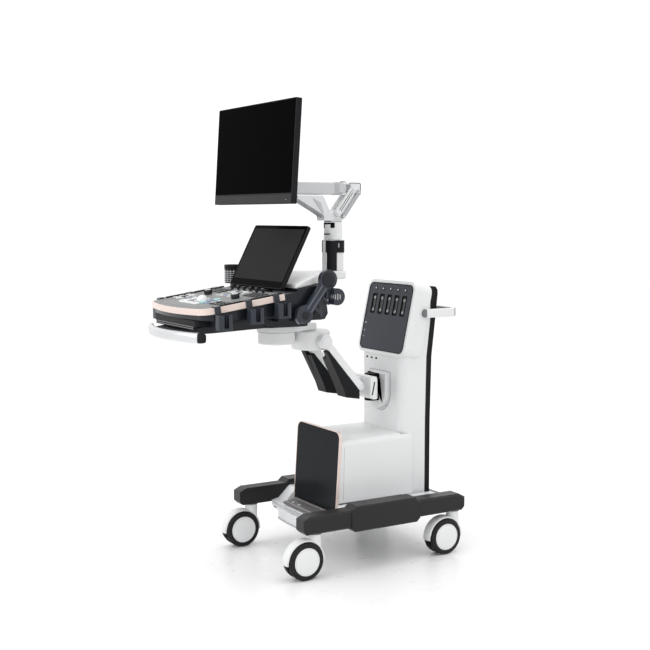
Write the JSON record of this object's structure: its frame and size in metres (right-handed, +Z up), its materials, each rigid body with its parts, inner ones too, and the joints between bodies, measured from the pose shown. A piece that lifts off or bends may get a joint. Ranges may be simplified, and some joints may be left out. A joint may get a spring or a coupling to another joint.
{
  "type": "ultrasound machine",
  "caption": "Cart-based ultrasound machine: swivel casters, computer housing, column with transducer sockets, floating console with tilting touchscreen, and a monitor on an articulated arm.",
  "frame": {"origin": "on the floor, under the middle of the bounding box", "axes": "+Z up, -Y towards the user who stands at the console, +X to the right"},
  "size_m": [0.545, 1.074, 1.5342],
  "materials": {
    "white_shell": "satin white moulded plastic",
    "black_plastic": "fine-grained black plastic",
    "grey_panel": "dark grey moulded plastic",
    "copper": "rose-gold anodised trim",
    "silver": "satin silver",
    "frame_metal": "cast aluminium",
    "tyre": "black polyurethane tread",
    "hub": "white hub cap",
    "deck_grey": "light grey working surface",
    "keys": "dark keycaps",
    "ball": "polished white ball",
    "screen": "near-black display glass",
    "bar_grey": "light grey painted bar"
  },
  "bodies": {
    "cart": {"chassis_frame": "frame_metal", "side_rails": "black_plastic", "rail_skirts": "black_plastic", "front_bumper": "silver", "deck_cover": "white_shell", "pc_housing": "white_shell", "front_panel": "black_plastic", "front_trim": "copper", "column_cover": "white_shell", "column_back": "black_plastic", "port_panel": "grey_panel", "port_sockets": "black_plastic", "power_module": "black_plastic", "rear_handle": "white_shell", "arm_mount": "white_shell"},
    "lock_pedal": {"lock_pedal": "grey_panel"},
    "knuckle": {"arm_knuckle": "white_shell"},
    "lift_arm": {"lift_arm_shells": "white_shell", "lift_arm_covers": "black_plastic"},
    "arm_head": {"arm_head": "white_shell"},
    "swivel_link": {"swivel_link": "white_shell"},
    "console": {"console_tub": "black_plastic", "console_top": "deck_grey", "console_trim": "copper", "console_hood": "white_shell", "probe_holders": "black_plastic", "gel_cup": "black_plastic", "front_handle": "silver", "monitor_post": "white_shell"},
    "trackball": {"trackball": "ball"},
    "control_keys": {"control_keys": "keys"},
    "left_knob": {"left_knob": "black_plastic"},
    "right_knob": {"right_knob": "black_plastic"},
    "toggles": {"toggles": "black_plastic"},
    "keyboard_drawer": {"keyboard_drawer": "black_plastic"},
    "keyboard_keys": {"keyboard_keys": "keys"},
    "touchscreen": {"touch_housing": "black_plastic", "touch_glass": "screen"},
    "cable_arm": {"cable_arm": "black_plastic", "cable_comb": "black_plastic"},
    "pan_head": {"pan_head": "white_shell"},
    "monitor_lift_arm": {"monitor_lift_arm": "white_shell"},
    "parallel_link": {"parallel_link": "white_shell"},
    "elbow_block": {"elbow_block": "bar_grey"},
    "elbow_bar": {"elbow_bar": "bar_grey"},
    "tilt_head": {"tilt_head": "bar_grey"},
    "monitor": {"monitor_housing": "black_plastic", "monitor_glass": "screen"},
    "front_right_caster": {"front_right_fork": "white_shell"},
    "front_right_wheels": {"front_right_tyres": "tyre", "front_right_hubs": "hub"},
    "front_left_caster": {"front_left_fork": "white_shell"},
    "front_left_wheels": {"front_left_tyres": "tyre", "front_left_hubs": "hub"},
    "rear_right_caster": {"rear_right_fork": "white_shell"},
    "rear_right_wheels": {"rear_right_tyres": "tyre", "rear_right_hubs": "hub"},
    "rear_left_caster": {"rear_left_fork": "white_shell"},
    "rear_left_wheels": {"rear_left_tyres": "tyre", "rear_left_hubs": "hub"}
  },
  "joints": [
    {"name": "front_right_swivel", "type": "hinge", "parent": "cart", "child": "front_right_caster", "pos_m": [0.2235, -0.096, 0.15], "axis": [0, 0, 1], "continuous": true},
    {"name": "front_right_spin", "type": "hinge", "parent": "front_right_caster", "child": "front_right_wheels", "pos_m": [0.2235, -0.138, 0.0625], "axis": [1, 0, 0], "continuous": true},
    {"name": "front_left_swivel", "type": "hinge", "parent": "cart", "child": "front_left_caster", "pos_m": [-0.2235, -0.096, 0.15], "axis": [0, 0, 1], "continuous": true},
    {"name": "front_left_spin", "type": "hinge", "parent": "front_left_caster", "child": "front_left_wheels", "pos_m": [-0.2235, -0.138, 0.0625], "axis": [1, 0, 0], "continuous": true},
    {"name": "rear_right_swivel", "type": "hinge", "parent": "cart", "child": "rear_right_caster", "pos_m": [0.2235, 0.464, 0.15], "axis": [0, 0, 1], "continuous": true},
    {"name": "rear_right_spin", "type": "hinge", "parent": "rear_right_caster", "child": "rear_right_wheels", "pos_m": [0.2235, 0.422, 0.0625], "axis": [1, 0, 0], "continuous": true},
    {"name": "rear_left_swivel", "type": "hinge", "parent": "cart", "child": "rear_left_caster", "pos_m": [-0.2235, 0.464, 0.15], "axis": [0, 0, 1], "continuous": true},
    {"name": "rear_left_spin", "type": "hinge", "parent": "rear_left_caster", "child": "rear_left_wheels", "pos_m": [-0.2235, 0.422, 0.0625], "axis": [1, 0, 0], "continuous": true},
    {"name": "lock_pedal_press", "type": "hinge", "parent": "cart", "child": "lock_pedal", "pos_m": [0, 0.024, 0.175], "axis": [1, 0, 0], "range_deg": [0, 5], "stiffness_Nm_per_rad": 6, "springref_deg": -2.86},
    {"name": "arm_yaw", "type": "hinge", "parent": "cart", "child": "knuckle", "pos_m": [0, 0.268, 0.57], "axis": [0, 0, 1], "range_deg": [-15, 15]},
    {"name": "arm_lift", "type": "hinge", "parent": "knuckle", "child": "lift_arm", "pos_m": [0, 0.168, 0.588], "axis": [1, 0, 0], "range_deg": [-16, 36]},
    {"name": "arm_level", "type": "hinge", "parent": "lift_arm", "child": "arm_head", "pos_m": [0, 0.028, 0.751], "axis": [1, 0, 0], "range_deg": [-36, 16]},
    {"name": "link_swivel", "type": "hinge", "parent": "arm_head", "child": "swivel_link", "pos_m": [0, 0.02, 0.785], "axis": [0, 0, 1], "range_deg": [-30, 30]},
    {"name": "console_swivel", "type": "hinge", "parent": "swivel_link", "child": "console", "pos_m": [0, -0.112, 0.809], "axis": [0, 0, 1], "range_deg": [-45, 45]},
    {"name": "trackball_roll", "type": "hinge", "parent": "console", "child": "trackball", "pos_m": [0, -0.38298, 0.89836], "axis": [1, 0, 0], "continuous": true},
    {"name": "control_keys_press", "type": "slide", "parent": "console", "child": "control_keys", "axis": [0, 0.1392, -0.9903], "range_m": [0, 0.0015], "stiffness_N_per_m": 3000, "springref_m": -0.001},
    {"name": "left_knob_turn", "type": "hinge", "parent": "console", "child": "left_knob", "pos_m": [-0.1, -0.31421, 0.91206], "axis": [0, -0.1392, 0.9903], "continuous": true},
    {"name": "right_knob_turn", "type": "hinge", "parent": "console", "child": "right_knob", "pos_m": [0.112, -0.32016, 0.91123], "axis": [0, -0.1392, 0.9903], "continuous": true},
    {"name": "toggles_rock", "type": "hinge", "parent": "console", "child": "toggles", "pos_m": [0, -0.22, 0.92429], "axis": [1, 0, 0], "range_deg": [-12, 12], "stiffness_Nm_per_rad": 0.3},
    {"name": "keyboard_slide", "type": "slide", "parent": "console", "child": "keyboard_drawer", "axis": [0, -1, 0], "range_m": [0, 0.15]},
    {"name": "keyboard_keys_press", "type": "slide", "parent": "keyboard_drawer", "child": "keyboard_keys", "axis": [0, 0, -1], "range_m": [0, 0.001], "stiffness_N_per_m": 3000, "springref_m": -0.001},
    {"name": "touchscreen_tilt", "type": "hinge", "parent": "console", "child": "touchscreen", "pos_m": [0, -0.168, 0.948], "axis": [1, 0, 0], "range_deg": [-35, 10]},
    {"name": "cable_arm_fold", "type": "hinge", "parent": "console", "child": "cable_arm", "pos_m": [0.222, -0.14, 0.858], "axis": [1, 0, 0], "range_deg": [-35, 0]},
    {"name": "monitor_pan", "type": "hinge", "parent": "console", "child": "pan_head", "pos_m": [0, 0.111, 1.09], "axis": [0, 0, 1], "range_deg": [-60, 60]},
    {"name": "monitor_lift", "type": "hinge", "parent": "pan_head", "child": "monitor_lift_arm", "pos_m": [0, 0.117, 1.18], "axis": [1, 0, 0], "range_deg": [0, 48]},
    {"name": "parallel_link_swing", "type": "hinge", "parent": "pan_head", "child": "parallel_link", "pos_m": [0, 0.141, 1.17], "axis": [1, 0, 0], "range_deg": [0, 48]},
    {"name": "elbow_level", "type": "hinge", "parent": "monitor_lift_arm", "child": "elbow_block", "pos_m": [0, 0.18, 1.263], "axis": [1, 0, 0], "range_deg": [-48, 0]},
    {"name": "elbow_swing", "type": "hinge", "parent": "elbow_block", "child": "elbow_bar", "pos_m": [0, 0.15, 1.265], "axis": [0, 0, 1], "range_deg": [-35, 35]},
    {"name": "monitor_swivel", "type": "hinge", "parent": "elbow_bar", "child": "tilt_head", "pos_m": [0, -0.118, 1.265], "axis": [0, 0, 1], "range_deg": [-45, 45]},
    {"name": "monitor_tilt", "type": "hinge", "parent": "tilt_head", "child": "monitor", "pos_m": [0, -0.134, 1.345], "axis": [1, 0, 0], "range_deg": [-20, 10]}
  ],
  "couplings": [
    {"joint": "arm_level", "follows": "arm_lift", "ratio": -1},
    {"joint": "elbow_level", "follows": "monitor_lift", "ratio": -1},
    {"joint": "parallel_link_swing", "follows": "monitor_lift", "ratio": 1}
  ]
}
